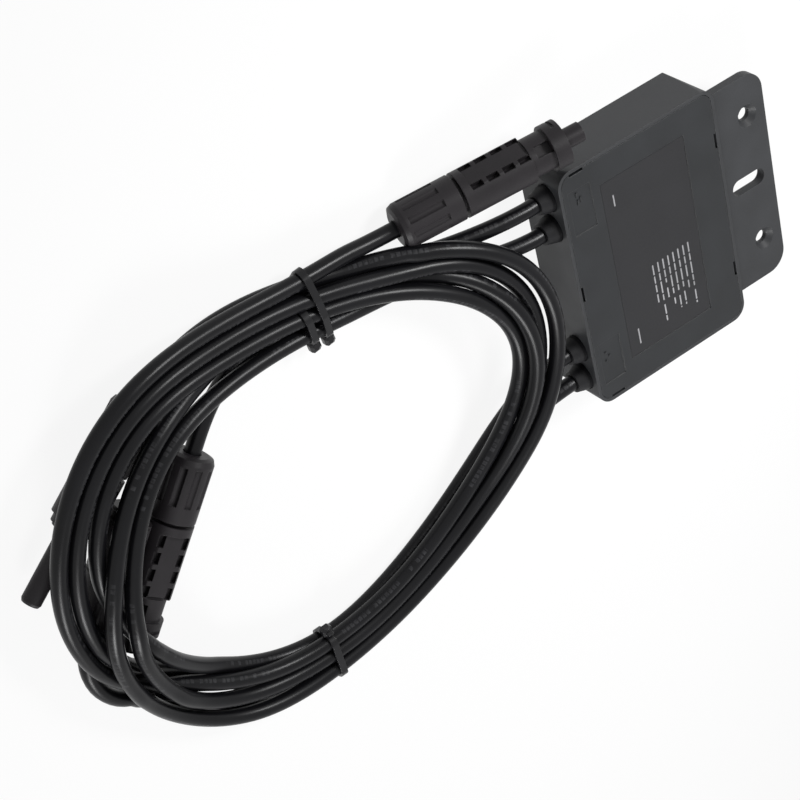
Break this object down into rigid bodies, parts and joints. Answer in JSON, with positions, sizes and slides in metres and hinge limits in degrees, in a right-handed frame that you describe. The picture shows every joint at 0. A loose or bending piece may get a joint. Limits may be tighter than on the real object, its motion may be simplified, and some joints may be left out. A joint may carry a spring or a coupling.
{
  "type": "power optimizer",
  "caption": "Flat sealed solar power converter box with a drilled mounting flange and tied-up cable leads that end in round locking connectors.",
  "frame": {"origin": "centre of the housing's flat back face", "axes": "+Z out of the lid, +X towards the mounting flange, +Y towards the input pair of leads; the leads leave the -X wall"},
  "size_m": [0.3207, 0.1733, 0.0287],
  "materials": {
    "housing_plastic": "fine matte moulding texture",
    "lid_plastic": "fine matte moulding texture",
    "label_film": "printed satin film",
    "gasket_rubber": "matte",
    "cable_jacket": "satin",
    "connector_plastic": "fine matte moulding texture",
    "clamp_plastic": "plain",
    "tie_plastic": "satin nylon",
    "board_laminate": "solder mask",
    "ferrite": "plain",
    "winding_copper": "enamelled wire",
    "capacitor_film": "plain",
    "chip_resin": "plain",
    "terminal_brass": "tinned",
    "contact_metal": "tinned",
    "screw_steel": "zinc plated"
  },
  "bodies": {
    "root": {"housing": "housing_plastic", "lid": "lid_plastic", "lid_seal": "gasket_rubber", "label_panel": "label_film", "input_grommet_a": "gasket_rubber", "input_grommet_b": "gasket_rubber", "output_grommet_a": "gasket_rubber", "output_grommet_b": "gasket_rubber", "circuit_board": "board_laminate", "board_screws": "screw_steel", "inductor_core": "ferrite", "inductor_winding": "winding_copper", "input_capacitors": "capacitor_film", "output_capacitors": "capacitor_film", "power_transistors": "chip_resin", "controller_chip": "chip_resin", "cable_terminals": "terminal_brass", "input_lead_a": "cable_jacket", "input_lead_b": "cable_jacket", "output_lead_a": "cable_jacket", "output_lead_b": "cable_jacket", "cable_coil": "cable_jacket", "upper_tie_a": "tie_plastic", "upper_tie_b": "tie_plastic", "lower_tie": "tie_plastic", "input_tail_a": "cable_jacket", "input_tail_b": "cable_jacket", "output_tail_a": "cable_jacket", "output_tail_b": "cable_jacket", "input_a_nut": "connector_plastic", "input_a_body": "connector_plastic", "input_a_seal": "gasket_rubber", "input_a_clamp_ring": "clamp_plastic", "input_a_contact": "contact_metal", "input_b_nut": "connector_plastic", "input_b_body": "connector_plastic", "input_b_seal": "gasket_rubber", "input_b_clamp_ring": "clamp_plastic", "input_b_contact": "contact_metal", "output_a_nut": "connector_plastic", "output_a_body": "connector_plastic", "output_a_seal": "gasket_rubber", "output_a_clamp_ring": "clamp_plastic", "output_a_contact": "contact_metal", "output_b_nut": "connector_plastic", "output_b_body": "connector_plastic", "output_b_seal": "gasket_rubber", "output_b_clamp_ring": "clamp_plastic", "output_b_contact": "contact_metal"}
  },
  "joints": []
}
